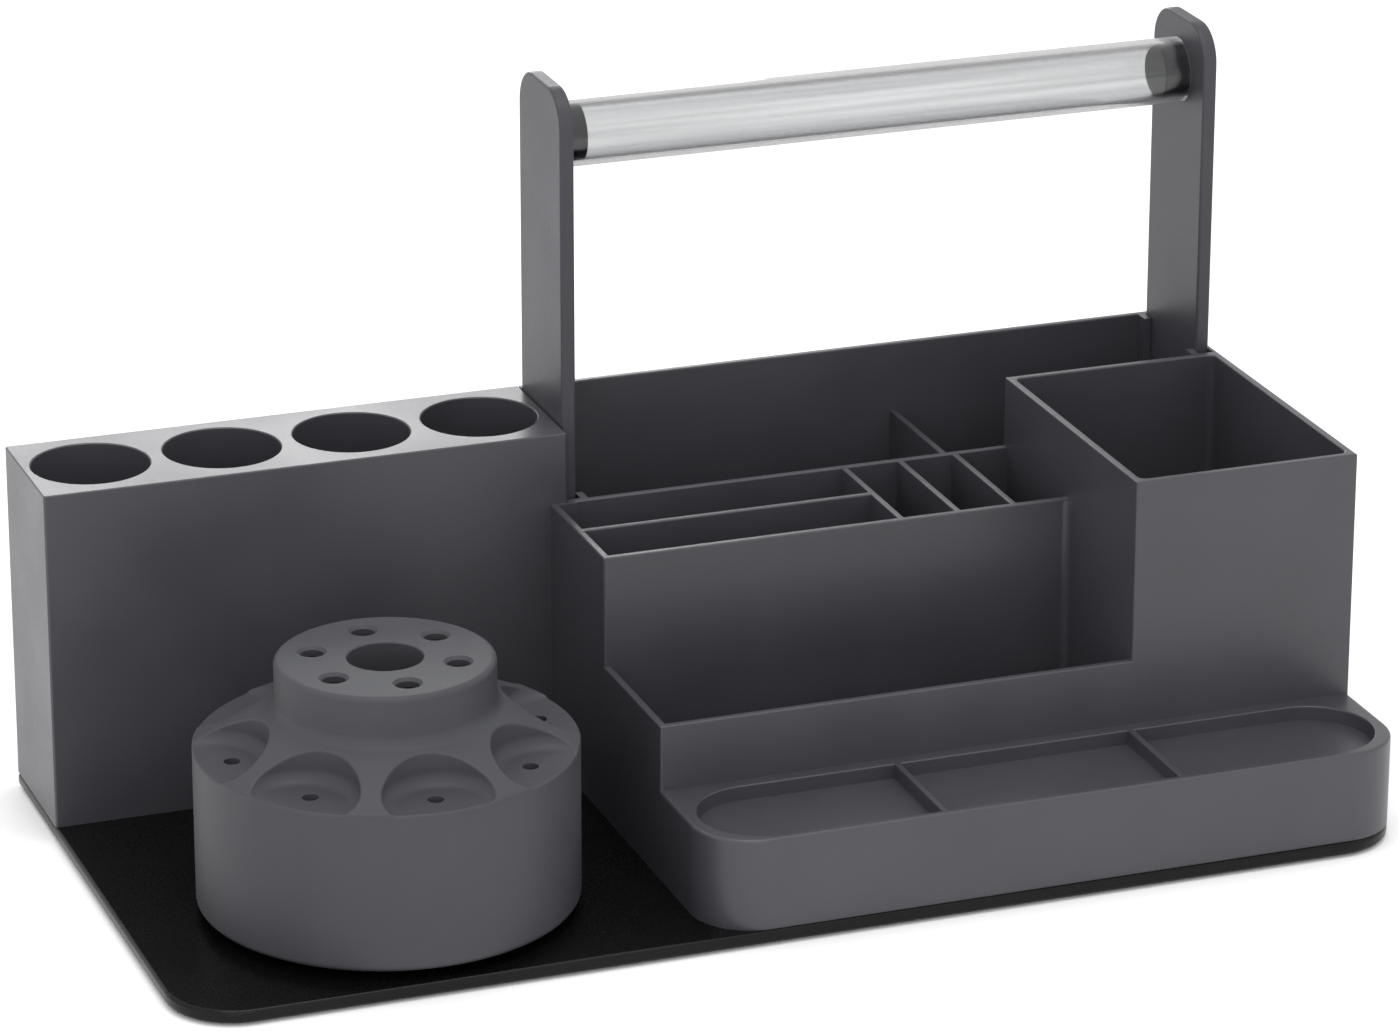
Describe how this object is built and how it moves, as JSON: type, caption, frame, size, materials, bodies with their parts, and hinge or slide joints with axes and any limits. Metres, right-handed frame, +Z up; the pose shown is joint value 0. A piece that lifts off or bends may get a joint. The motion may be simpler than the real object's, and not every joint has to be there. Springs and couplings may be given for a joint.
{
  "type": "desk organizer",
  "caption": "Stepped desk organizer on a flat base, with a bottle rack, bins, a small-parts tray, a rotating tool caddy and a clear carrying tube.",
  "frame": {"origin": "under the middle of the base plate, on the surface the feet stand on", "axes": "+Z up, +X to the right along the front edge, +Y to the back"},
  "size_m": [0.33, 0.165, 0.1865],
  "materials": {
    "black_base": "satin black moulding",
    "dark_body": "satin dark grey ABS",
    "caddy_grey": "satin dark grey ABS",
    "black_plastic": "black acetal",
    "foot_rubber": "matt",
    "clear_tube": "clear polished acrylic",
    "steel": "zinc plated"
  },
  "bodies": {
    "frame": {"base_plate": "black_base", "anti_slip_feet": "foot_rubber", "organizer_body": "dark_body", "bottle_rack": "dark_body", "upright_left": "dark_body", "upright_right": "dark_body", "handle_tube": "clear_tube", "organizer_screws": "steel", "rack_screws": "steel", "upright_screws": "steel", "turntable_base": "black_plastic", "turntable_screws": "steel", "pivot_washer": "steel", "pivot_screw": "steel"},
    "caddy": {"caddy_drum": "caddy_grey", "caddy_cap": "caddy_grey", "well_sleeve": "caddy_grey", "caddy_bottom_cover": "black_plastic", "caddy_screws": "steel"},
    "cage": {"ball_cage": "black_plastic", "bearing_balls": "steel"}
  },
  "joints": [
    {"name": "caddy_spin", "type": "hinge", "parent": "frame", "child": "caddy", "pos_m": [-0.0973, -0.0323, 0.00685], "axis": [0, 0, 1], "continuous": true},
    {"name": "cage_spin", "type": "hinge", "parent": "frame", "child": "cage", "pos_m": [-0.0973, -0.0323, 0.00685], "axis": [0, 0, 1], "continuous": true}
  ],
  "couplings": [
    {"joint": "cage_spin", "follows": "caddy_spin", "ratio": 0.5}
  ]
}
